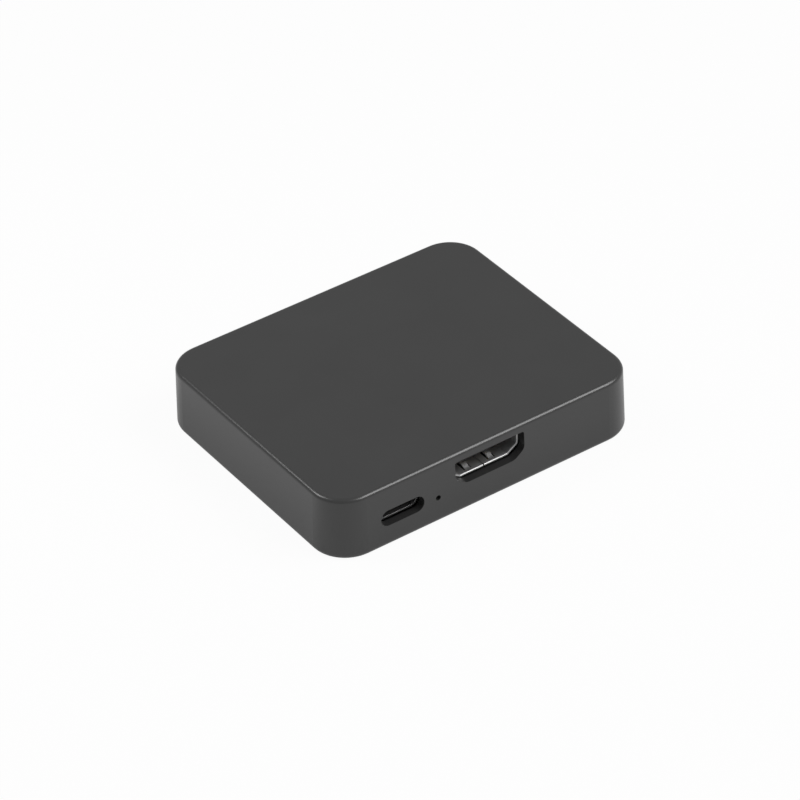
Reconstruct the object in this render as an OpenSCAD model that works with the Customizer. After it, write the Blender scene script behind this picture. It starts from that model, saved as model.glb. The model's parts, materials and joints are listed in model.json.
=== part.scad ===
// Two-way HDMI splitter: a flat moulded case with one input and a power inlet on its front,
// two outputs on its back, and the circuit board that joins them.
// Millimetres. The origin is the middle of the underside, +X runs to the right along the
// front, +Y runs from the front (input) to the back (outputs), and +Z is up.

/* [Case] */
// Width of the case at its foot
case_w = 65; // [60:0.5:80]
// Depth of the case at its foot, front to back
case_d = 54.3; // [50:0.1:70]
// Radius of the four upright corners
corner_r = 6.85; // [4:0.05:9]
// How far each wall leans in between foot and top
wall_draft = 0.4; // [0.1:0.05:0.8]
// Radius of the edge round the top
top_edge_r = 0.8; // [0.3:0.05:1.4]
// Radius of the edge round the foot
foot_edge_r = 1.1; // [0.3:0.05:1.2]
// Least width of the flat that the walls stand on, inside that edge
foot_land = 0.2; // [0.1:0.05:0.5]
// Thickness of the side walls
wall_t = 1.5; // [1.2:0.1:2.2]
// Thickness of the top
top_t = 1.5; // [1.2:0.1:2.4]
// Room between the receptacles and the underside of the top
top_room = 0.125; // [0.1:0.025:1]

/* [Base cover] */
// Thickness of the base cover, which lies flush between the feet of the walls
base_t = 1.3; // [1.2:0.1:2]
// Height of the rim round the cover's inside
rim_h = 1.4; // [1:0.1:1.8]
// Thickness of that rim
rim_t = 1; // [0.8:0.1:1.4]
// Clearance between the cover and the walls, which is the width of the seam
rim_clear = 0.1; // [0.05:0.01:0.2]
// Length of each snap nose along its wall
snap_l = 5; // [3:0.5:8]
// Height of each snap nose
snap_h = 0.9; // [0.6:0.1:1]
// How far a snap nose stands out from the rim
snap_reach = 0.4; // [0.3:0.05:0.6]
// Clearance round a snap nose in its pocket
snap_clear = 0.12; // [0.05:0.01:0.2]
// Distance of the snaps on the front and back from the middle
snap_x = 16; // [10:0.5:20]
// Distance of the snaps on the two sides from the middle
snap_y = 10; // [6:0.5:14]
// Diameter of the pillars that carry the board's middle
pillar_d = 3; // [2:0.1:4]
// Distance of the pillars from the middle, along the front
pillar_x = 13.5; // [10:0.5:18]
// Distance of the pillars from the middle, front to back
pillar_y = 6.5; // [4:0.5:9]

/* [Circuit board] */
// Thickness of the board
board_t = 1.6; // [1:0.1:2]
// Room under the board
board_room = 2; // [1.9:0.1:4]
// Gap between the board's edge and the walls
board_gap = 0.9; // [0.5:0.1:1.2]
// Clearance round what passes through the board
hole_clear = 0.2; // [0.1:0.05:0.3]

/* [Bosses and screws] */
// Diameter of the bosses under the top
boss_d = 5; // [4:0.1:6]
// Distance of a boss's axis from the side wall
boss_from_side = 3.9; // [3.2:0.1:6]
// Distance of a boss's axis from the front or back wall
boss_from_end = 12.5; // [11:0.5:15]
// Thickness of the web between a boss and the side wall
web_t = 0.9; // [0.6:0.1:1.5]
// Height of that web under the top
web_h = 2.7; // [1:0.1:5]
// Thread diameter of the screws
screw_d = 2; // [1.6:0.1:2.5]
// Length of the screws under the head
screw_l = 6; // [4:0.5:6.5]
// Length of a screw's point
screw_point = 1; // [0.5:0.1:1.5]
// Diameter of a screw's head
screw_head_d = 3.6; // [3:0.1:4.5]
// Height of a screw's head
screw_head_h = 1.2; // [0.8:0.1:1.6]
// Radius of the dome on a screw's head
screw_dome_r = 2; // [1.9:0.1:4]
// Width of the cross slot in a screw's head
screw_slot_w = 0.6; // [0.4:0.1:0.8]
// Length of the cross slot in a screw's head
screw_slot_l = 2.2; // [1.6:0.1:2.6]
// Depth of the cross slot in a screw's head
screw_slot_depth = 0.7; // [0.3:0.1:0.7]
// Clearance between a screw and its boss
thread_clear = 0.05; // [0.02:0.01:0.1]
// Depth of a boss's hole beyond the screw's point
hole_end = 0.5; // [0.2:0.1:0.6]

/* [HDMI receptacles] */
// Width of the opening
hdmi_w = 14; // [13.9:0.05:14.6]
// Height of the opening
hdmi_h = 4.55; // [4.5:0.05:5]
// Width of the opening's flat floor
hdmi_floor_w = 9.9; // [9.4:0.1:10.6]
// Height of the opening's upright sides
hdmi_side_h = 3.2; // [2.8:0.1:3.6]
// Radius in the opening's corners
hdmi_corner_r = 0.3; // [0.1:0.05:0.5]
// Length of the shell, front to back
hdmi_depth = 10.9; // [10:0.1:12]
// Height of the opening's middle over the board
hdmi_axis_h = 3.35; // [3:0.05:4]
// Distance between the two outputs
output_pitch = 27; // [24:0.5:30]
// Thickness of the shells' sheet
sheet_t = 0.35; // [0.3:0.05:0.45]
// Radius of the rounded lip inside the mouths
lip_r = 0.25; // [0.1:0.05:0.3]
// Width of the seam where the sheet's edges meet
seam_w = 0.2; // [0.05:0.05:0.3]
// Width of a spring finger
spring_w = 1; // [0.8:0.1:1.8]
// Length of a spring finger
spring_l = 4.2; // [3:0.1:5]
// How far a spring finger bows into the opening
spring_bow = 0.5; // [0.3:0.05:0.6]
// Distance of a spring finger's crest behind its root
spring_crest = 1.7; // [0.9:0.1:2]
// Distance of the spring fingers' roots behind the mouth
spring_from = 0.7; // [0.5:0.1:1.5]
// Distance between the two spring fingers of a row
spring_pitch = 5; // [4:0.1:6]
// How far a row of spring fingers stands to the right of the opening's middle
spring_shift = -0.35; // [-0.5:0.05:0.5]
// Gap round a spring finger in its window
spring_gap = 0.3; // [0.2:0.05:0.5]
// Width of the shell's legs
leg_w = 1; // [0.8:0.1:1.4]
// How far the legs reach out below the board
leg_tail = 0.7; // [0.4:0.1:1]
// Distance of the front legs behind the mouth
leg_front = 2.1; // [1.5:0.1:4]
// Distance of the rear legs behind the mouth
leg_rear = 8.8; // [6:0.1:9.2]
// Clearance of the insulators in their shells
fit_clear = 0.05; // [0.02:0.01:0.1]
// Width of the tongue
tongue_w = 11.2; // [10.6:0.1:11.8]
// Thickness of the tongue
tongue_t = 1.9; // [1.6:0.1:2.2]
// Bevel round the tip of the tongue
tongue_bevel = 0.3; // [0.1:0.05:0.5]
// Distance of the tongue's tip behind the mouth
tongue_from = 1.4; // [0.8:0.1:2]
// Distance of the insulator's solid block behind the mouth
block_from = 6.4; // [5.8:0.1:7]
// Length of the insulator's heel behind the shell
heel_l = 1.3; // [1:0.1:2]
// Height of the insulator's heel over the board
heel_h = 5.3; // [4.6:0.1:5.5]
// Contacts in the upper row
upper_contacts = 10; // [8:1:10]
// Contacts in the lower row
lower_contacts = 9; // [7:1:9]
// Distance between neighbouring contacts of a row
contact_pitch = 1; // [0.9:0.05:1.1]
// Width of a contact
contact_w = 0.32; // [0.25:0.01:0.4]
// Thickness of a contact
contact_t = 0.18; // [0.12:0.01:0.25]
// Distance of the contacts behind the tongue's tip
contact_back = 0.5; // [0.3:0.1:1]
// Length of the contacts' feet on the board
contact_foot = 1; // [0.6:0.1:1.4]

/* [Power inlet] */
// Distance of the inlet's middle from the left side of the foot
inlet_from_side = 14.1; // [12.5:0.1:15.5]
// Width of the opening
inlet_w = 8.34; // [8.3:0.02:8.6]
// Height of the opening
inlet_h = 2.56; // [2.5:0.02:2.8]
// Radius of the rounded lip inside the mouth
inlet_lip_r = 0.06; // [0.04:0.01:0.15]
// Length of the shell, front to back
inlet_depth = 7.3; // [6.5:0.1:8]
// Height of the opening's middle over the board
inlet_axis_h = 1; // [0.8:0.1:1.3]
// Distance of the legs' outer faces from the shell's sides
inlet_leg_out = 1.2; // [0.9:0.1:1.5]
// Distance of the front legs behind the mouth
inlet_leg_front = 2.2; // [1.8:0.1:3]
// Distance of the rear legs behind the mouth
inlet_leg_rear = 5.5; // [4.5:0.1:6]
// Width of the tongue
inlet_tongue_w = 6.7; // [6.4:0.1:7]
// Thickness of the tongue
inlet_tongue_t = 0.7; // [0.6:0.05:0.8]
// Bevel round the tip of the tongue
inlet_tongue_bevel = 0.17; // [0.1:0.01:0.25]
// Distance of the tongue's tip behind the mouth
inlet_tongue_from = 0.7; // [0.5:0.1:1.2]
// Distance of the insulator's solid block behind the mouth
inlet_block_from = 5.2; // [4.5:0.1:5.6]
// Distance between neighbouring contact places
inlet_contact_pitch = 0.5; // [0.45:0.01:0.52]
// Thickness of a contact
inlet_contact_t = 0.14; // [0.1:0.01:0.2]

/* [Ports in the case] */
// Margin of a cut-out round its receptacle's opening
port_margin = 0.3; // [0.2:0.05:0.5]
// Radius in the upper corners of the receptacle cut-outs
port_corner_r = 0.45; // [0.2:0.05:0.6]
// Radius in the lower corners of the receptacle cut-outs
port_bend_r = 1.8; // [0.4:0.1:2.2]
// Gap between the walls and the mouths behind them
port_gap = 0.25; // [0.15:0.05:0.5]

/* [Status lamp] */
// Distance of the lamp from the inlet's middle
lamp_from_inlet = 7.35; // [6.8:0.05:8.5]
// Width of the lamp
lamp_w = 1.6; // [1.2:0.1:2]
// Height of the lamp on the board
lamp_h = 0.7; // [0.6:0.05:1]
// Depth of the lamp's body
lamp_d = 0.5; // [0.4:0.05:0.7]
// Radius of the lens's round front
lens_r = 0.64; // [0.5:0.02:0.8]
// Height of the lens
lens_h = 0.56; // [0.4:0.02:0.6]
// How far the lens stands out in front of the lamp's body
lens_out = 0.35; // [0.2:0.05:0.5]
// Diameter of the pinhole in front of the lamp
pinhole_d = 1; // [0.8:0.1:1.5]

/* [Chips and small parts] */
// Room between neighbouring parts on the board
part_gap = 0.8; // [0.5:0.1:1]
// Side of the splitter chip's square body
chip_w = 10; // [8:0.5:11]
// Height of a chip's body
chip_h = 1.4; // [1:0.1:1.7]
// How far a chip's sides slope in above and below its leads
chip_taper = 0.23; // [0.1:0.01:0.3]
// Gap between a chip's body and the board
chip_lift = 0.1; // [0.05:0.01:0.2]
// Leads on each side of the splitter chip
chip_leads = 16; // [12:1:17]
// Distance between neighbouring leads of the splitter chip
chip_lead_pitch = 0.5; // [0.4:0.05:0.55]
// Width of a lead of the splitter chip
chip_lead_w = 0.22; // [0.15:0.01:0.28]
// How far the leads reach out from a chip
lead_reach = 1; // [0.8:0.1:1.3]
// Length of a lead's foot on the board
lead_foot = 0.4; // [0.2:0.05:0.5]
// Thickness of the leads
lead_t = 0.15; // [0.1:0.01:0.2]
// Width of the memory chip
memory_w = 3.9; // [3.5:0.1:4.4]
// Length of the memory chip
memory_l = 4.9; // [4.6:0.1:5.5]
// Leads on each side of the memory chip
memory_leads = 4; // [3:1:4]
// Distance between neighbouring leads of the memory chip
memory_lead_pitch = 1.27; // [1:0.01:1.35]
// Width of a lead of the memory chip
memory_lead_w = 0.42; // [0.3:0.01:0.5]
// Width of a regulator
regulator_w = 6.5; // [6:0.1:7]
// Length of a regulator
regulator_l = 3.5; // [3.2:0.1:4]
// Narrow leads of a regulator
regulator_pins = 3; // [2:1:3]
// Distance between neighbouring leads of a regulator
regulator_lead_pitch = 2.3; // [1.8:0.1:2.5]
// Width of a regulator's lead
regulator_lead_w = 0.7; // [0.5:0.1:1]
// Width of a regulator's tab
regulator_tab_w = 3; // [2.5:0.1:4]
// Length of the crystal's can
crystal_l = 5; // [4:0.1:5.5]
// Width of the crystal's can
crystal_w = 3.2; // [2.5:0.1:3.5]
// Height of the crystal's can
crystal_h = 1.2; // [0.8:0.1:1.5]
// Radius of the crystal's corners
crystal_r = 0.5; // [0.3:0.1:0.8]
// Width of the flange round the crystal's foot
flange_w = 0.25; // [0.15:0.05:0.4]
// Thickness of that flange
flange_t = 0.3; // [0.2:0.05:0.4]
// Diameter of a bulk capacitor's can
can_d = 5; // [4:0.1:5.5]
// Height of a bulk capacitor on the board
can_h = 5.4; // [4:0.1:5.6]
// Width of the rolled edges of the can
can_roll = 0.2; // [0.1:0.05:0.3]
// Height of the groove over the board
can_groove_z = 1.5; // [1.2:0.1:2]
// Thickness of a bulk capacitor's base
can_base_t = 0.6; // [0.4:0.1:0.8]
// How far that base stands out beside the can
can_base_out = 0.15; // [0.1:0.05:0.3]
// Cut across two corners of that base
can_base_cut = 1; // [0.5:0.1:1.5]
// Length of a chip capacitor or resistor
chip_part_l = 1.6; // [1:0.1:2]
// Width of a chip capacitor or resistor
chip_part_w = 0.8; // [0.5:0.1:1.2]
// Height of a chip capacitor
capacitor_h = 0.8; // [0.5:0.1:1]
// Height of a chip resistor
resistor_h = 0.45; // [0.3:0.05:0.6]
// Length of the end caps of a chip part
end_cap_l = 0.35; // [0.2:0.05:0.45]
// Distance of an output's row of capacitors from the middle
output_row_x = 9; // [8:0.5:12]
// Chip capacitors behind each receptacle
row_capacitors = 8; // [4:1:8]
// Chip capacitors on each side of the splitter chip
side_capacitors = 4; // [2:1:4]
// Chip resistors in their row
row_resistors = 6; // [3:1:6]

/* [Hidden] */
$fn = 48;
// How far a cut or a root runs past the face that it crosses
overlap = 0.2;
sides = [-1, 1];

case_colour = "#474747";
steel_colour = "#b9bbbd";
satin_colour = "#8e9092";
gold_colour = "#c9a54a";
moulding_colour = "#1c1c1c";
board_colour = "#20231f";
tin_colour = "#c4c6c4";
ceramic_colour = "#b08a5a";
lamp_colour = "#e8e6dc";
lens_colour = "#d8e4e8";

// Heights of the stack, from the foot up
board_z = base_t + board_room;
board_top = board_z + board_t;
hdmi_z = board_top + hdmi_axis_h;
lamp_z = board_top + lamp_h / 2;
ceiling_z = hdmi_z + hdmi_h / 2 + sheet_t + top_room;
case_h = ceiling_z + top_t;

// Walls: the cavity is measured at the top, where the leaning walls stand closest
draft_a = atan(wall_draft / case_h);
foot_edge = min(foot_edge_r, wall_t - foot_land);
cavity_x = case_w / 2 - wall_t - wall_draft;
cavity_y = case_d / 2 - wall_t - wall_draft;
mouth_y = cavity_y - port_gap;
port_depth = port_gap + wall_t + wall_draft + overlap;

// Board and what holds it
board_x = case_w / 2 - wall_t - board_gap;
board_y = case_d / 2 - wall_t - board_gap;
board_corner_r = corner_r - wall_t - board_gap;
boss_x = cavity_x - boss_from_side;
boss_y = cavity_y - boss_from_end;
screw_hole_l = screw_l - board_t + hole_end;
snap_z = base_t + rim_h / 2;
leg_foot = -board_t - leg_tail;
slot_w = sheet_t + 2 * hole_clear;
slot_l = leg_w + 2 * hole_clear;

// HDMI receptacles: the lower corners slope in below the upright sides
hdmi_side_z = hdmi_h / 2 - hdmi_side_h;
hdmi_slope_a = atan2(hdmi_h - hdmi_side_h, (hdmi_w - hdmi_floor_w) / 2);
heel_from = hdmi_depth + fit_clear;
heel_end = hdmi_depth + heel_l;
contact_from = tongue_from + contact_back;
springs_x = [for (s = sides) spring_shift + s * spring_pitch / 2];
spring_steps = 6;
block_radii = [for (corner = hdmi_corners(0)) hdmi_corner_r - fit_clear];
port_radii = [port_corner_r, port_corner_r, port_bend_r, port_bend_r, port_bend_r, port_bend_r];

// Upper face of each contact as [x, z], in a row over and a row under the tongue
hdmi_contact_faces = concat(
    [for (x = row(upper_contacts, contact_pitch)) [x, hdmi_axis_h + tongue_t / 2]],
    [for (x = row(lower_contacts, contact_pitch)) [x, hdmi_axis_h - tongue_t / 2 + contact_t]]
);

// Contact places of the inlet that are filled: it carries power alone
inlet_upper_places = [-1.5, 2.5, 5.5];
inlet_lower_places = [-5.5, -2.5, 1.5];
inlet_x = inlet_from_side - case_w / 2;
lamp_x = inlet_x + lamp_from_inlet;
inlet_half_w = inlet_w / 2 + sheet_t;
inlet_contact_from = inlet_tongue_from + contact_back;
inlet_contact_faces = concat(
    [for (i = inlet_upper_places) [i * inlet_contact_pitch, inlet_axis_h + inlet_tongue_t / 2]],
    [for (i = inlet_lower_places)
        [i * inlet_contact_pitch, inlet_axis_h - inlet_tongue_t / 2 + inlet_contact_t]]
);

// Places on the board, from the splitter chip in the middle outwards
part_step = chip_part_w + part_gap / 2;
chip_reach = chip_w / 2 + lead_reach;
receptacle_back = mouth_y - heel_end - contact_foot;
end_row_y = (chip_reach + receptacle_back) / 2;
side_row_x = chip_reach + part_gap + chip_part_l / 2;
side_row_end = side_row_x + chip_part_l / 2 + part_gap;
can_base_half = can_d / 2 + can_base_out;
can_x = -side_row_end - can_base_half;
regulator_x = can_x - can_base_half - part_gap - regulator_w / 2;
memory_x = side_row_end + lead_reach + memory_w / 2;
memory_at = [memory_x, -memory_l / 2 - part_gap / 2];
crystal_at = [side_row_end + crystal_l / 2, crystal_w / 2 + part_gap / 2];
resistor_x = memory_x + memory_w / 2 + lead_reach + part_gap + chip_part_l / 2;
cans_at = [for (s = sides) [can_x, s * (can_base_half + part_gap / 2)]];
regulators_at = [for (s = sides) [regulator_x, s * (regulator_l / 2 + lead_reach + part_gap / 2)]];
capacitors_lengthwise = concat(
    [for (x = row(row_capacitors, part_step)) [x, -end_row_y]],
    [for (s = sides, x = row(row_capacitors, part_step)) [s * output_row_x + x, end_row_y]]
);
capacitors_crosswise = [for (s = sides, y = row(side_capacitors, 2 * part_step)) [s * side_row_x, y]];
resistors_crosswise = [for (y = row(row_resistors, part_step)) [resistor_x, y]];

// Evenly spaced places about zero
function row(count, pitch) = [for (i = [0 : count - 1]) (i - (count - 1) / 2) * pitch];

function unit(v) = v / norm(v);

// How far the outer face of a wall stands in from the foot's outline at height z
function wall_inset(z) = wall_draft * z / case_h;

// Tangent point, centre and tangent point of the arc that rounds corner b between a and c
function rounding(a, b, c, r) =
    let (
        u = unit(a - b),
        v = unit(c - b),
        half = acos(u * v) / 2
    )
    [b + u * r / tan(half), b + unit(u + v) * r / sin(half), b + v * r / tan(half)];

// Corners of an HDMI opening grown by g on every side, about the middle of the opening
function hdmi_corners(g) =
    let (
        side = hdmi_w / 2 + g,
        roof = hdmi_h / 2 + g,
        bend_z = hdmi_side_z - g * tan(45 - hdmi_slope_a / 2),
        floor_x = hdmi_floor_w / 2 + g * tan(hdmi_slope_a / 2)
    )
    [[side, roof], [-side, roof], [-side, bend_z], [-floor_x, -roof], [floor_x, -roof], [side, bend_z]];

// Side view of a spring finger's face: a steep rise to the crest and a long fall behind it
function spring_line() = concat(
    [for (i = [0 : spring_steps]) spring_point(spring_crest * i / spring_steps, 180 * i / spring_steps)],
    [for (i = [1 : spring_steps])
        spring_point(
            spring_crest + (spring_l - spring_crest) * i / spring_steps, 180 + 180 * i / spring_steps
        )]
);

function spring_point(along, phase) = [spring_from + along, spring_bow * (1 - cos(phase)) / 2];

// Side view of a lead: out of the chip at height z, down, and along the board
function lead_line(z) =
    let (
        bend = (lead_reach - lead_foot) / 2,
        lean = lead_t / 2
    )
    [
        [-overlap, z + lead_t / 2], [bend + lean, z + lead_t / 2],
        [lead_reach - lead_foot + lean, lead_t], [lead_reach, lead_t], [lead_reach, 0],
        [lead_reach - lead_foot - lean, 0], [bend - lean, z - lead_t / 2], [-overlap, z - lead_t / 2]
    ];

// Side view of a contact whose upper face is at height z: along the tongue, down behind
// the insulator and along the board
function contact_line(from, back, z, t, foot) = [
    [from, z], [back + t, z], [back + t, t], [back + foot, t],
    [back + foot, 0], [back, 0], [back, z - t], [from, z - t]
];

// Side view of a tongue with a bevelled tip, about its middle height
function tongue_line(from, to, t, bevel) = [
    [from, bevel - t / 2], [from + bevel, -t / 2], [to, -t / 2],
    [to, t / 2], [from + bevel, t / 2], [from, t / 2 - bevel]
];

// Arc in corner i of an outline
function corner_arc(points, i, r) =
    let (n = len(points))
    rounding(points[(i + n - 1) % n], points[i], points[(i + 1) % n], r);

// Direction of the outward normal of the side from a to b, on an outline that runs anticlockwise
function normal_angle(a, b) = atan2(a[0] - b[0], b[1] - a[1]);

// Convex outline with its corners rounded by arcs, one radius for each
module rounded_outline(points, radii) {
    arcs = [for (i = [0 : len(points) - 1]) corner_arc(points, i, radii[i])];
    polygon([for (arc = arcs) each [arc[0], arc[2]]]);
    for (i = [0 : len(arcs) - 1]) translate(arcs[i][1]) circle(radii[i]);
}

module rounded_rectangle(half_x, half_y, r) {
    corners = [[half_x, half_y], [-half_x, half_y], [-half_x, -half_y], [half_x, -half_y]];
    rounded_outline(corners, [r, r, r, r]);
}

// Strip folded round an outline. The children are its section: x outwards, y along the tube
module folded_strip(points, r) {
    n = len(points);
    for (i = [0 : n - 1]) {
        arc = corner_arc(points, i, r);
        next_arc = corner_arc(points, (i + 1) % n, r);
        from = normal_angle(points[(i + n - 1) % n], points[i]);
        to = normal_angle(points[i], points[(i + 1) % n]);
        translate(arc[1]) rotate(from) rotate_extrude(angle = (to - from + 360) % 360)
            translate([r, 0]) children();
        translate(next_arc[0]) rotate(to) rotate([90, 0, 0])
            linear_extrude(norm(next_arc[0] - arc[2])) children();
    }
}

// The same strip round a flat oval
module oval_strip(w, h) {
    for (a = [0, 180]) rotate(a) {
        translate([(w - h) / 2, 0, 0]) rotate(-90) rotate_extrude(angle = 180)
            translate([h / 2, 0]) children();
        translate([(h - w) / 2, h / 2, 0]) rotate(90) rotate([90, 0, 0]) linear_extrude(w - h) children();
    }
}

// Section of a shell's sheet: inner face at x = 0, mouth at y = 0, with a lip of radius r inside it
module sheet_section(depth, r) {
    intersection() {
        translate([0, -depth]) square([sheet_t, depth]);
        union() {
            polygon([[0, -depth], [sheet_t, -depth], [sheet_t, 0], [r, 0], [0, -r]]);
            translate([r, -r]) circle(r);
        }
    }
}

// Flat oval outline
module oval(w, h) {
    square([w - h, h], center = true);
    for (s = sides) translate([s * (w - h) / 2, 0]) circle(d = h);
}

// Extrudes a front view (x, z) from one depth to another
module front_view(from, to) {
    translate([0, to, 0]) rotate([90, 0, 0]) linear_extrude(to - from) children();
}

// Extrudes a side view (y, z) over a width, about its middle
module side_view(w) {
    rotate([90, 0, 90]) linear_extrude(w, center = true) children();
}

// Sweeps one of the wall sections round the case: four straight walls and four corners
module round_case(section) {
    for (s = [0, 1]) {
        mirror([s, 0, 0]) front_view(corner_r - case_d / 2, case_d / 2 - corner_r)
            wall_section(section, case_w / 2);
        mirror([0, s, 0]) side_view(case_w - 2 * corner_r) wall_section(section, case_d / 2);
    }
    for (sx = [0, 1], sy = [0, 1]) mirror([sx, 0, 0]) mirror([0, sy, 0])
        translate([case_w / 2 - corner_r, case_d / 2 - corner_r, 0]) rotate_extrude(angle = 90)
            wall_section(section, corner_r);
}

// Half section of the case, from its middle out to a wall whose foot is at half
module wall_section(section, half) {
    if (section == "outside") outside_section(half);
    if (section == "cavity") inside_section(half, wall_t, -overlap, ceiling_z);
    if (section == "cover") inside_section(half, wall_t + rim_clear, 0, base_t + rim_h);
    if (section == "cover hollow")
        inside_section(half, wall_t + rim_clear + rim_t, base_t, base_t + rim_h + overlap);
}

// Outside of the case: rounded foot, leaning wall, rounded top edge
module outside_section(half) {
    lean = [cos(draft_a), sin(draft_a)];
    foot_at = [half - wall_inset(foot_edge) - foot_edge / cos(draft_a), foot_edge];
    top_at = [half - wall_inset(case_h - top_edge_r) - top_edge_r / cos(draft_a), case_h - top_edge_r];
    polygon([
        [0, 0], [foot_at[0], 0], foot_at + foot_edge * lean,
        top_at + top_edge_r * lean, [top_at[0], case_h], [0, case_h]
    ]);
    translate(foot_at) circle(foot_edge);
    translate(top_at) circle(top_edge_r);
}

// Solid inside the walls, with sides that lean as the walls do
module inside_section(half, inset, from, to) {
    polygon([
        [0, from], [half - inset - wall_inset(from), from],
        [half - inset - wall_inset(to), to], [0, to]
    ]);
}

module at_bosses() {
    for (sx = sides, sy = sides) translate([sx * boss_x, sy * boss_y, 0]) children();
}

// Sets its children at every snap, with +x outwards and x = 0 on the foot's outline
module at_snaps() {
    for (s = sides, t = sides) {
        translate([s * case_w / 2, t * snap_y, 0]) rotate(90 - s * 90) children();
        translate([t * snap_x, s * case_d / 2, 0]) rotate(s * 90) children();
    }
}

// Sets its children at a receptacle: mouth at y = 0, board at z = 0, +y into the case
module at_input() {
    translate([0, -mouth_y, board_top]) children();
}

module at_output(s) {
    translate([s * output_pitch / 2, mouth_y, board_top]) rotate(180) children();
}

module at_inlet() {
    translate([inlet_x, -mouth_y, board_top]) children();
}

module at_receptacles() {
    at_input() children();
    for (s = sides) at_output(s) children();
}

module at_hdmi_legs() {
    for (s = sides, y = [leg_front, leg_rear]) translate([s * (hdmi_w + sheet_t) / 2, y, 0]) children();
}

module at_inlet_legs() {
    for (s = sides, y = [inlet_leg_front, inlet_leg_rear])
        translate([s * (inlet_half_w + inlet_leg_out - sheet_t / 2), y, 0]) children();
}

// Moulded top and walls in one piece, with the port cut-outs and the bosses for the board
module upper_shell() {
    color(case_colour) difference() {
        union() {
            difference() {
                round_case("outside");
                round_case("cavity");
            }
            at_bosses() translate([0, 0, board_top])
                cylinder(d = boss_d, h = ceiling_z - board_top + overlap);
            boss_webs();
        }
        at_bosses() translate([0, 0, board_top - overlap])
            cylinder(d = screw_d + 2 * thread_clear, h = screw_hole_l + overlap);
        at_receptacles() front_view(-port_depth, port_gap) translate([0, hdmi_axis_h])
            rounded_outline(hdmi_corners(port_margin), port_radii);
        at_inlet() front_view(-port_depth, port_gap) translate([0, inlet_axis_h])
            oval(inlet_w + 2 * port_margin, inlet_h + 2 * port_margin);
        translate([lamp_x, -mouth_y, lamp_z]) front_view(-port_depth, port_gap) circle(d = pinhole_d);
        at_snaps() snap_pocket();
    }
}

// Webs that tie the bosses to the side walls
module boss_webs() {
    web_l = boss_from_side + wall_draft + overlap;
    for (sx = [0, 1], sy = sides) mirror([sx, 0, 0])
        translate([boss_x, sy * boss_y - web_t / 2, ceiling_z - web_h])
            cube([web_l, web_t, web_h + overlap]);
}

module snap_pocket() {
    wall_x = -wall_t - wall_inset(snap_z);
    pocket_l = snap_l + 2 * snap_clear;
    pocket_h = snap_h + 2 * snap_clear;
    translate([wall_x - overlap, -pocket_l / 2, snap_z - pocket_h / 2])
        cube([snap_reach - rim_clear + snap_clear + overlap, pocket_l, pocket_h]);
}

// Bottom plate between the walls, with a rim, snaps on the rim and pillars under the board
module base_cover() {
    color(case_colour) {
        difference() {
            round_case("cover");
            round_case("cover hollow");
        }
        at_snaps() snap_nose();
        for (sx = sides, sy = sides) translate([sx * pillar_x, sy * pillar_y, base_t - overlap])
            cylinder(d = pillar_d, h = board_room + overlap);
    }
}

// Wedge on the rim that clicks into a pocket of the wall
module snap_nose() {
    rim_x = -wall_t - rim_clear - wall_inset(snap_z);
    root_x = rim_x - rim_t / 2;
    front_view(-snap_l / 2, snap_l / 2) polygon([
        [root_x, snap_z - snap_h / 2], [rim_x, snap_z - snap_h / 2], [rim_x + snap_reach, snap_z],
        [rim_x, snap_z + snap_h / 2], [root_x, snap_z + snap_h / 2]
    ]);
}

// Board with its screw holes, the slots for the shells' legs and the notch for the inlet
module circuit_board() {
    notch_w = 2 * (inlet_half_w + hole_clear);
    color(board_colour) difference() {
        translate([0, 0, board_z]) linear_extrude(board_t)
            rounded_rectangle(board_x, board_y, board_corner_r);
        at_bosses() translate([0, 0, board_z - overlap])
            cylinder(d = screw_d + 2 * hole_clear, h = board_t + 2 * overlap);
        at_receptacles() at_hdmi_legs() leg_slot();
        at_inlet() at_inlet_legs() leg_slot();
        at_inlet() translate([-notch_w / 2, -overlap, -board_t - overlap])
            cube([notch_w, inlet_depth + hole_clear + overlap, board_t + 2 * overlap]);
    }
}

module leg_slot() {
    translate([0, 0, -board_t / 2]) cube([slot_w, slot_l, board_t + 2 * overlap], center = true);
}

// Self-tapping screws with domed, cross-slotted heads, driven from under the board
module board_screws() {
    color(steel_colour) at_bosses() translate([0, 0, board_z]) {
        translate([0, 0, -overlap]) cylinder(d = screw_d, h = screw_l - screw_point + overlap);
        translate([0, 0, screw_l - screw_point]) cylinder(d1 = screw_d, d2 = screw_d / 4, h = screw_point);
        difference() {
            mirror([0, 0, 1]) intersection() {
                cylinder(d = screw_head_d, h = screw_head_h);
                translate([0, 0, screw_head_h - screw_dome_r]) sphere(screw_dome_r);
            }
            for (a = [0, 90]) rotate(a)
                translate([-screw_slot_l / 2, -screw_slot_w / 2, -screw_head_h - overlap])
                    cube([screw_slot_l, screw_slot_w, screw_slot_depth + overlap]);
        }
    }
}

// Stamped shell of an HDMI receptacle: a strip folded into a tube with its seam in the floor,
// two spring fingers in the floor, two in the roof and four legs
module hdmi_shell() {
    window_w = spring_w + 2 * spring_gap;
    color(steel_colour) {
        difference() {
            translate([0, 0, hdmi_axis_h]) rotate([90, 0, 0])
                folded_strip(hdmi_corners(0), hdmi_corner_r) sheet_section(hdmi_depth, lip_r);
            translate([-seam_w / 2, -overlap, hdmi_axis_h - hdmi_h])
                cube([seam_w, hdmi_depth + 2 * overlap, hdmi_h]);
            for (x = springs_x) translate([x - window_w / 2, spring_from, hdmi_axis_h - hdmi_h])
                cube([window_w, spring_l + spring_gap, 2 * hdmi_h]);
        }
        for (x = springs_x, m = [0, 1]) translate([x, 0, hdmi_axis_h]) mirror([0, 0, m])
            translate([0, 0, -hdmi_h / 2]) spring_finger();
        at_hdmi_legs() hdmi_leg();
    }
}

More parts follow.
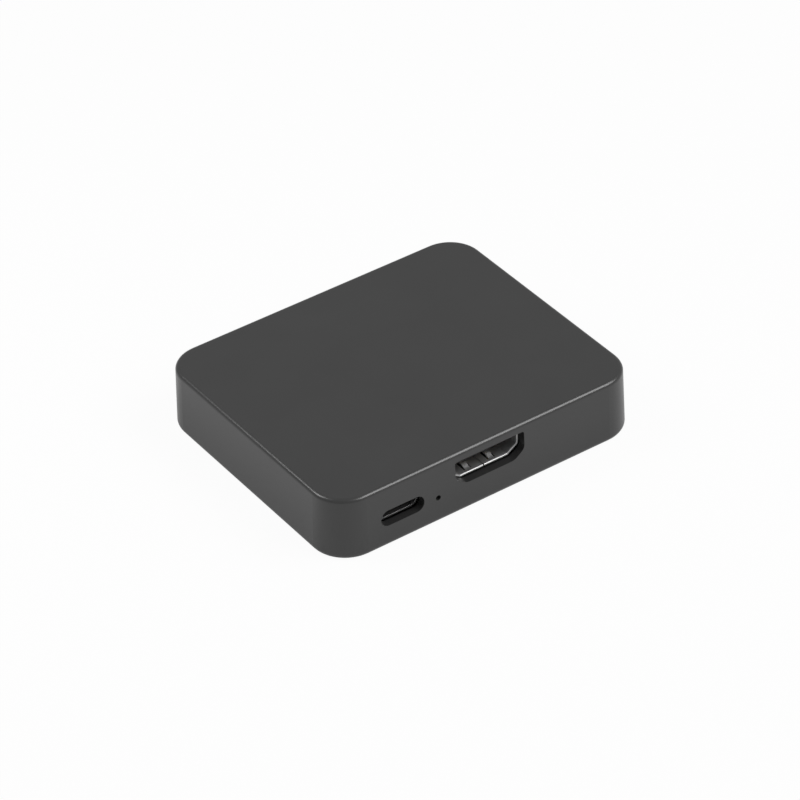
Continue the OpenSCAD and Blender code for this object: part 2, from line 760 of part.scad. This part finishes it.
// Spring finger in the floor, with the floor's face at z = 0
module spring_finger() {
    face = spring_line();
    root = spring_from - overlap;
    side_view(spring_w) polygon(concat(
        [[root, 0]],
        face,
        [for (i = [len(face) - 1 : -1 : 0]) face[i] - [0, sheet_t]],
        [[root, -sheet_t]]
    ));
}

// Leg of a shell: it hangs from the upright side and ends in a point below the board
module hdmi_leg() {
    head = hdmi_axis_h + hdmi_side_z + leg_w;
    side_view(sheet_t) polygon([
        [-leg_w / 2, head], [-leg_w / 2, leg_foot + leg_w / 2], [-leg_w / 4, leg_foot],
        [leg_w / 4, leg_foot], [leg_w / 2, leg_foot + leg_w / 2], [leg_w / 2, head]
    ]);
}

// Insulator of an HDMI receptacle: a tongue on a block that fills the shell's rear, with a
// heel that stands on the board
module hdmi_insulator() {
    color(moulding_colour) difference() {
        union() {
            translate([0, 0, hdmi_axis_h]) side_view(tongue_w)
                polygon(tongue_line(tongue_from, block_from + overlap, tongue_t, tongue_bevel));
            front_view(block_from, heel_end) translate([0, hdmi_axis_h])
                rounded_outline(hdmi_corners(-fit_clear), block_radii);
            translate([-hdmi_w / 2, heel_from, 0]) cube([hdmi_w, heel_end - heel_from, heel_h]);
        }
        for (at = hdmi_contact_faces) translate([at[0] - contact_w / 2, contact_from, at[1] - contact_t])
            cube([contact_w, heel_end, contact_t]);
    }
}

module hdmi_contacts() {
    color(gold_colour) for (at = hdmi_contact_faces) translate([at[0], 0, 0]) side_view(contact_w)
        polygon(contact_line(contact_from, heel_end, at[1], contact_t, contact_foot));
}

module input_shell() { at_input() hdmi_shell(); }
module input_insulator() { at_input() hdmi_insulator(); }
module input_contacts() { at_input() hdmi_contacts(); }
module output_a_shell() { at_output(-1) hdmi_shell(); }
module output_a_insulator() { at_output(-1) hdmi_insulator(); }
module output_a_contacts() { at_output(-1) hdmi_contacts(); }
module output_b_shell() { at_output(1) hdmi_shell(); }
module output_b_insulator() { at_output(1) hdmi_insulator(); }
module output_b_contacts() { at_output(1) hdmi_contacts(); }

// Oval shell of the power inlet, sunk into the board's notch on four folded legs
module power_inlet_shell() {
    color(satin_colour) at_inlet() {
        translate([0, 0, inlet_axis_h]) rotate([90, 0, 0])
            oval_strip(inlet_w, inlet_h) sheet_section(inlet_depth, inlet_lip_r);
        for (m = [0, 1], y = [inlet_leg_front, inlet_leg_rear]) mirror([m, 0, 0]) inlet_leg(y);
    }
}

// Leg of the inlet: out of the oval's wall at board level, then down through the board
module inlet_leg(y) {
    wall_r = (inlet_h + sheet_t) / 2;
    root = (inlet_w - inlet_h) / 2 + sqrt(pow(wall_r, 2) - pow(inlet_axis_h - sheet_t / 2, 2));
    out = inlet_half_w + inlet_leg_out;
    front_view(y - leg_w / 2, y + leg_w / 2) polygon([
        [root, 0], [out - sheet_t, 0], [out - sheet_t, leg_foot],
        [out, leg_foot], [out, sheet_t], [root, sheet_t]
    ]);
}

module power_inlet_insulator() {
    color(moulding_colour) at_inlet() difference() {
        union() {
            translate([0, 0, inlet_axis_h]) side_view(inlet_tongue_w) polygon(tongue_line(
                inlet_tongue_from, inlet_block_from + overlap, inlet_tongue_t, inlet_tongue_bevel
            ));
            front_view(inlet_block_from, inlet_depth) translate([0, inlet_axis_h])
                oval(inlet_w - 2 * fit_clear, inlet_h - 2 * fit_clear);
        }
        for (at = inlet_contact_faces)
            translate([at[0] - contact_w / 2, inlet_contact_from, at[1] - inlet_contact_t])
                cube([contact_w, inlet_depth, inlet_contact_t]);
    }
}

module power_inlet_contacts() {
    color(gold_colour) at_inlet() for (at = inlet_contact_faces) translate([at[0], 0, 0])
        side_view(contact_w) polygon(contact_line(
            inlet_contact_from, inlet_depth, at[1], inlet_contact_t, contact_foot + hole_clear
        ));
}

// Side-view lamp at the board's front edge, its lens level with the edge, behind the pinhole
module status_led() {
    color(lamp_colour) translate([lamp_x - lamp_w / 2, lens_out - board_y, board_top])
        cube([lamp_w, lamp_d, lamp_h]);
}

module status_led_lens() {
    color(lens_colour) translate([lamp_x, -board_y, lamp_z - lens_h / 2]) intersection() {
        translate([0, lens_r, 0]) cylinder(r = lens_r, h = lens_h);
        translate([-lens_r, 0, 0]) cube([2 * lens_r, lens_out, lens_h]);
    }
}

// Moulded package with sides that slope in above and below the lead frame
module chip_body(w, l) {
    translate([0, 0, chip_lift]) intersection() {
        front_view(-l / 2, l / 2) chip_section(w / 2);
        side_view(w) chip_section(l / 2);
    }
}

module chip_section(half) {
    top = half - chip_taper;
    polygon([[top, 0], [half, chip_h / 2], [top, chip_h], [-top, chip_h], [-half, chip_h / 2], [-top, 0]]);
}

// Row of leads on one side of a package, with +y outwards from its side
module lead_row(count, pitch, w) {
    for (x = row(count, pitch)) translate([x, 0, 0]) side_view(w)
        polygon(lead_line(chip_lift + chip_h / 2));
}

module splitter_chip() {
    color(moulding_colour) difference() {
        translate([0, 0, board_top]) chip_body(chip_w, chip_w);
        splitter_chip_leads();
    }
}

module splitter_chip_leads() {
    color(tin_colour) for (a = [0 : 90 : 270]) rotate(a) translate([0, chip_w / 2, board_top])
        lead_row(chip_leads, chip_lead_pitch, chip_lead_w);
}

module memory_chip() {
    color(moulding_colour) difference() {
        translate([memory_at[0], memory_at[1], board_top]) chip_body(memory_w, memory_l);
        memory_chip_leads();
    }
}

module memory_chip_leads() {
    color(tin_colour) translate([memory_at[0], memory_at[1], board_top]) for (a = [90, 270]) rotate(a)
        translate([0, memory_w / 2, 0]) lead_row(memory_leads, memory_lead_pitch, memory_lead_w);
}

module regulators() {
    color(moulding_colour) difference() {
        for (at = regulators_at) translate([at[0], at[1], board_top]) chip_body(regulator_w, regulator_l);
        regulator_leads();
    }
}

// Narrow leads on one side of each regulator, and its wide tab on the other
module regulator_leads() {
    color(tin_colour) for (at = regulators_at) translate([at[0], at[1], board_top]) {
        translate([0, regulator_l / 2, 0]) lead_row(1, regulator_lead_pitch, regulator_tab_w);
        rotate(180) translate([0, regulator_l / 2, 0])
            lead_row(regulator_pins, regulator_lead_pitch, regulator_lead_w);
    }
}

// Metal can with a flange at its foot
module clock_crystal() {
    color(tin_colour) translate([crystal_at[0], crystal_at[1], board_top]) {
        linear_extrude(flange_t) rounded_rectangle(crystal_l / 2, crystal_w / 2, crystal_r);
        linear_extrude(crystal_h)
            rounded_rectangle(crystal_l / 2 - flange_w, crystal_w / 2 - flange_w, crystal_r);
    }
}

// Aluminium cans, rolled in at both ends and grooved over their seals
module bulk_capacitors() {
    side = can_d / 2;
    color(tin_colour) for (at = cans_at) translate([at[0], at[1], board_top]) rotate_extrude() polygon([
        [0, can_base_t], [side - can_roll, can_base_t], [side, can_base_t + can_roll],
        [side, can_groove_z - can_roll], [side - can_roll, can_groove_z], [side, can_groove_z + can_roll],
        [side, can_h - can_roll], [side - can_roll, can_h], [0, can_h]
    ]);
}

module bulk_capacitor_bases() {
    half = can_base_half;
    inner = half - can_base_cut;
    color(moulding_colour) for (at = cans_at) translate([at[0], at[1], board_top])
        linear_extrude(can_base_t) polygon([
            [half, -half], [half, inner], [inner, half], [-inner, half], [-half, inner], [-half, -half]
        ]);
}

// Body of a chip part between its end caps, along y
module chip_part_body(h) {
    body_l = chip_part_l - 2 * end_cap_l;
    translate([-chip_part_w / 2, -body_l / 2, board_top]) cube([chip_part_w, body_l, h]);
}

module chip_part_caps(h) {
    for (m = [0, 1]) mirror([0, m, 0]) translate([-chip_part_w / 2, chip_part_l / 2 - end_cap_l, board_top])
        cube([chip_part_w, end_cap_l, h]);
}

module at_capacitors() {
    for (at = capacitors_lengthwise) translate(at) children();
    for (at = capacitors_crosswise) translate(at) rotate(90) children();
}

module at_resistors() {
    for (at = resistors_crosswise) translate(at) rotate(90) children();
}

module chip_capacitors() {
    color(ceramic_colour) at_capacitors() chip_part_body(capacitor_h);
}

module chip_resistors() {
    color(moulding_colour) at_resistors() chip_part_body(resistor_h);
}

module chip_terminals() {
    color(tin_colour) {
        at_capacitors() chip_part_caps(capacitor_h);
        at_resistors() chip_part_caps(resistor_h);
    }
}

upper_shell();
base_cover();
circuit_board();
board_screws();
input_shell();
input_insulator();
input_contacts();
output_a_shell();
output_a_insulator();
output_a_contacts();
output_b_shell();
output_b_insulator();
output_b_contacts();
power_inlet_shell();
power_inlet_insulator();
power_inlet_contacts();
status_led();
status_led_lens();
splitter_chip();
splitter_chip_leads();
memory_chip();
memory_chip_leads();
regulators();
regulator_leads();
clock_crystal();
bulk_capacitors();
bulk_capacitor_bases();
chip_capacitors();
chip_resistors();
chip_terminals();
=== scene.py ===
"""Looks of a two-way HDMI splitter: its finishes, with the camera and light of the photograph.

Lengths are in metres and lamps in watts.
"""

import json
import math

import bpy
from mathutils import Matrix, Vector

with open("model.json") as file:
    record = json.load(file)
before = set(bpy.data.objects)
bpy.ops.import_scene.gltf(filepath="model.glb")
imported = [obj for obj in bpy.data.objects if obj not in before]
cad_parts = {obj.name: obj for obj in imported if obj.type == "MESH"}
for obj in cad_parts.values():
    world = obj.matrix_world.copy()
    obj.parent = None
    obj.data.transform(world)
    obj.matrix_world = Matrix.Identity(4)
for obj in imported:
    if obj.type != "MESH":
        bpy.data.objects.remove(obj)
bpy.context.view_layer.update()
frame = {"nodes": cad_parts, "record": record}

MM = 0.001
MICRON = 0.000001

# Camera: the photograph's own, fitted to the outline of the case
IMAGE_PX = 800
FOCAL_PX = 3851.5
SENSOR_MM = 36
AZIMUTH = math.radians(-34.05)
ELEVATION = math.radians(37.01)
ROLL = math.radians(-2.12)
TARGET = Vector((0, 0, 6.5 * MM))
DISTANCE = 676.2 * MM
NEAREST = 10 * MM
FARTHEST = 20

# How far the target shows to the right of the picture's middle, and above it
FRAMING_RIGHT = -0.10 * MM
FRAMING_UP = 1.32 * MM

# Studio: a white room, with a soft lamp in front on the right and a weaker one behind on the left
LAMPS = {
    "front": dict(direction=(0.456, -0.507, 0.731), distance=0.70, size=(0.45, 0.37), power=3.20),
    "left": dict(direction=(-0.543, 0.397, 0.740), distance=0.28, size=(0.12, 0.12), power=0.25),
}
WHITE = (1, 1, 1, 1)
FULL = 1.0
ROOM_LIGHT = 0.29
FLOOR_HALF = 1.5
FLOOR_COLOUR = (0.78, 0.78, 0.78, 1)

# Shares of plain white in the room and the floor, as the camera sees them and as gloss and glass show them
ROOM_SEEN = 1.0
ROOM_MIRRORED = 0.27
FLOOR_SEEN = 0.95
FLOOR_MIRRORED = 0.38

# Noise: a soft cloud for colour and gloss, and a finer grain for the relief
CLOUD = {"Detail": 2.0, "Roughness": 0.50}
GRAIN = {"Detail": 3.0, "Roughness": 0.55}

# Sockets by which Blender's Mix node mixes colours: it has their names again for other kinds of value
MIX_SHARE = 0
MIX_LOW = 6
MIX_HIGH = 7
MIX_RESULT = 2


def grey(value):
    return (value, value, value)


# Finishes: colour and roughness from low to high, the size of their mottle, and the grain's size and depth
FINISHES = {
    "case_plastic": dict(
        low=grey(0.026), high=grey(0.032), rough=(0.26, 0.32),
        mottle=12 * MM, grain=0.30 * MM, depth=3 * MICRON, fixed={"IOR": 1.58},
    ),
    "plated_steel": dict(
        low=grey(0.56), high=grey(0.66), rough=(0.48, 0.56),
        mottle=2.0 * MM, grain=0.25 * MM, depth=4 * MICRON, metal=1.0,
    ),
    "satin_steel": dict(
        low=grey(0.32), high=grey(0.38), rough=(0.46, 0.54),
        mottle=2.0 * MM, grain=0.25 * MM, depth=4 * MICRON, metal=1.0,
    ),
    "black_moulding": dict(
        low=grey(0.010), high=grey(0.016), rough=(0.45, 0.60),
        mottle=3.0 * MM, grain=0.20 * MM, depth=6 * MICRON,
    ),
    "gold_contact": dict(
        low=(0.70, 0.46, 0.14), high=(0.80, 0.56, 0.22), rough=(0.20, 0.32),
        mottle=1.0 * MM, grain=0.15 * MM, depth=3 * MICRON, metal=1.0,
    ),
    "board_laminate": dict(
        low=(0.011, 0.013, 0.012), high=(0.016, 0.019, 0.017), rough=(0.28, 0.40),
        mottle=4.0 * MM, grain=0.35 * MM, depth=10 * MICRON,
    ),
    "screw_steel": dict(
        low=(0.40, 0.41, 0.42), high=(0.52, 0.52, 0.53), rough=(0.26, 0.40),
        mottle=1.5 * MM, grain=0.20 * MM, depth=6 * MICRON, metal=1.0,
    ),
    "tinned_metal": dict(
        low=(0.56, 0.56, 0.54), high=(0.68, 0.68, 0.66), rough=(0.35, 0.50),
        mottle=1.0 * MM, grain=0.12 * MM, depth=6 * MICRON, metal=1.0,
    ),
    "can_aluminium": dict(
        low=(0.70, 0.70, 0.71), high=(0.80, 0.80, 0.81), rough=(0.24, 0.36),
        mottle=1.5 * MM, grain=0.20 * MM, depth=4 * MICRON, metal=1.0,
    ),
    "capacitor_ceramic": dict(
        low=(0.32, 0.20, 0.09), high=(0.42, 0.28, 0.14), rough=(0.45, 0.60),
        mottle=0.8 * MM, grain=0.10 * MM, depth=6 * MICRON,
    ),
    "lamp_white": dict(
        low=(0.74, 0.72, 0.64), high=(0.82, 0.80, 0.73), rough=(0.35, 0.45),
        mottle=0.6 * MM, grain=0.10 * MM, depth=4 * MICRON,
    ),
    "lamp_lens": dict(
        low=(0.80, 0.86, 0.88), high=(0.88, 0.92, 0.94), rough=(0.05, 0.12),
        mottle=0.5 * MM, grain=0.10 * MM, depth=2 * MICRON,
        fixed={"Transmission Weight": 0.8, "IOR": 1.5},
    ),
}


class Nodes:
    """Node tree that starts empty, with one call for each node, its links and its values."""

    def __init__(self, tree):
        self.tree = tree
        self.tree.nodes.clear()

    def add(self, kind, links=None, **values):
        node = self.tree.nodes.new(kind)
        for name, value in values.items():
            setattr(node, name, value)
        for socket, value in (links or {}).items():
            if isinstance(value, bpy.types.NodeSocket):
                self.tree.links.new(value, node.inputs[socket])
            else:
                node.inputs[socket].default_value = value
        return node


def add_camera():
    """Camera that looks at the target from its azimuth and elevation, rolled and moved to the framing."""
    back = Vector((
        math.sin(AZIMUTH) * math.cos(ELEVATION),
        -math.cos(AZIMUTH) * math.cos(ELEVATION),
        math.sin(ELEVATION),
    ))
    level = Vector((math.cos(AZIMUTH), math.sin(AZIMUTH), 0))
    upright = back.cross(level)
    right = math.cos(ROLL) * level + math.sin(ROLL) * upright
    up = math.cos(ROLL) * upright - math.sin(ROLL) * level
    place = TARGET + DISTANCE * back - FRAMING_RIGHT * right - FRAMING_UP * up

    data = bpy.data.cameras.new("camera")
    data.sensor_width = SENSOR_MM
    data.lens = FOCAL_PX * SENSOR_MM / IMAGE_PX
    data.clip_start = NEAREST
    data.clip_end = FARTHEST
    camera = bpy.data.objects.new("camera", data)
    camera.matrix_world = Matrix.Translation(place) @ Matrix((right, up, back)).transposed().to_4x4()
    bpy.context.scene.collection.objects.link(camera)
    bpy.context.scene.camera = camera


def add_lamp(name, direction, distance, size, power):
    """Soft lamp, of a width and height, that faces the target from a direction."""
    data = bpy.data.lights.new(name, "AREA")
    data.shape = "RECTANGLE"
    data.size, data.size_y = size
    data.energy = power
    lamp = bpy.data.objects.new(name, data)
    towards = Vector(direction).normalized()
    lamp.location = TARGET + distance * towards
    lamp.rotation_mode = "QUATERNION"
    lamp.rotation_quaternion = towards.to_track_quat("Z", "Y")
    bpy.context.scene.collection.objects.link(lamp)


def seen(nodes, directly, mirrored):
    """Share of white for the rays that show the surroundings themselves: one for camera rays, and one
    for mirror and glass rays."""
    path = nodes.add("ShaderNodeLightPath")
    mirror = nodes.add(
        "ShaderNodeMath",
        {0: path.outputs["Is Glossy Ray"], 1: path.outputs["Is Transmission Ray"]},
        operation="MAXIMUM",
    )
    direct = nodes.add(
        "ShaderNodeMath", {0: path.outputs["Is Camera Ray"], 1: directly}, operation="MULTIPLY"
    )
    return nodes.add(
        "ShaderNodeMath",
        {0: mirror.outputs[0], 1: mirrored, 2: direct.outputs[0]},
        operation="MULTIPLY_ADD",
    ).outputs[0]


def add_world():
    """Even light from all round, white where the camera sees it and brighter in gloss and glass."""
    world = bpy.data.worlds.new("room")
    world.use_nodes = True
    nodes = Nodes(world.node_tree)
    light = nodes.add("ShaderNodeBackground", {"Color": WHITE, "Strength": ROOM_LIGHT})
    white = nodes.add("ShaderNodeBackground", {"Color": WHITE, "Strength": FULL})
    share = seen(nodes, ROOM_SEEN, ROOM_MIRRORED)
    mix = nodes.add("ShaderNodeMixShader", {0: share, 1: light.outputs[0], 2: white.outputs[0]})
    nodes.add("ShaderNodeOutputWorld", {"Surface": mix.outputs[0]})
    bpy.context.scene.world = world


def add_floor():
    """Pale floor. Seen directly it is white, and keeps the rest of its shade as a soft shadow."""
    half = FLOOR_HALF
    corners = [(-half, -half, 0), (half, -half, 0), (half, half, 0), (-half, half, 0)]
    mesh = bpy.data.meshes.new("floor")
    mesh.from_pydata(corners, [], [(0, 1, 2, 3)])
    floor = bpy.data.objects.new("floor", mesh)
    bpy.context.scene.collection.objects.link(floor)

    material = bpy.data.materials.new("floor")
    material.use_nodes = True
    nodes = Nodes(material.node_tree)
    matt = nodes.add("ShaderNodeBsdfDiffuse", {"Color": FLOOR_COLOUR})
    white = nodes.add("ShaderNodeEmission", {"Color": WHITE, "Strength": FULL})
    share = seen(nodes, FLOOR_SEEN, FLOOR_MIRRORED)
    mix = nodes.add("ShaderNodeMixShader", {0: share, 1: matt.outputs[0], 2: white.outputs[0]})
    nodes.add("ShaderNodeOutputMaterial", {"Surface": mix.outputs[0]})
    mesh.materials.append(material)


def finish_material(name, low, high, rough, mottle, grain, depth, metal=0.0, fixed=None):
    """Surface with a colour and roughness that vary over mottle metres, and a grain of a size and depth in
    metres. The shader's fixed values are the same all over."""
    material = bpy.data.materials.new(name)
    material.use_nodes = True
    nodes = Nodes(material.node_tree)
    place = nodes.add("ShaderNodeTexCoord").outputs["Object"]
    cloud = nodes.add("ShaderNodeTexNoise", {"Vector": place, "Scale": 1 / mottle, **CLOUD})
    colour = nodes.add(
        "ShaderNodeMix",
        {MIX_SHARE: cloud.outputs["Fac"], MIX_LOW: (*low, 1), MIX_HIGH: (*high, 1)},
        data_type="RGBA",
    )
    roughness = nodes.add(
        "ShaderNodeMapRange",
        {"Value": cloud.outputs["Fac"], "To Min": rough[0], "To Max": rough[1]},
    )
    relief = nodes.add("ShaderNodeTexNoise", {"Vector": place, "Scale": 1 / grain, **GRAIN})
    bump = nodes.add(
        "ShaderNodeBump", {"Strength": FULL, "Distance": depth, "Height": relief.outputs["Fac"]}
    )
    surface = nodes.add(
        "ShaderNodeBsdfPrincipled",
        {
            "Base Color": colour.outputs[MIX_RESULT],
            "Roughness": roughness.outputs["Result"],
            "Normal": bump.outputs["Normal"],
            "Metallic": metal,
            **(fixed or {}),
        },
    )
    nodes.add("ShaderNodeOutputMaterial", {"Surface": surface.outputs["BSDF"]})
    return material


def dress_nodes():
    """Give each node the finish that the record names as its material slot."""
    materials = {slot: finish_material(slot, **finish) for slot, finish in FINISHES.items()}
    for part in frame["record"]["subparts"]:
        mesh = frame["nodes"][part["node"]].data
        mesh.materials.clear()
        mesh.materials.append(materials[part["material_slot"]])


add_camera()
add_world()
add_floor()
for lamp_name, lamp in LAMPS.items():
    add_lamp(lamp_name, **lamp)
dress_nodes()

bpy.context.scene.view_settings.view_transform = "Standard"
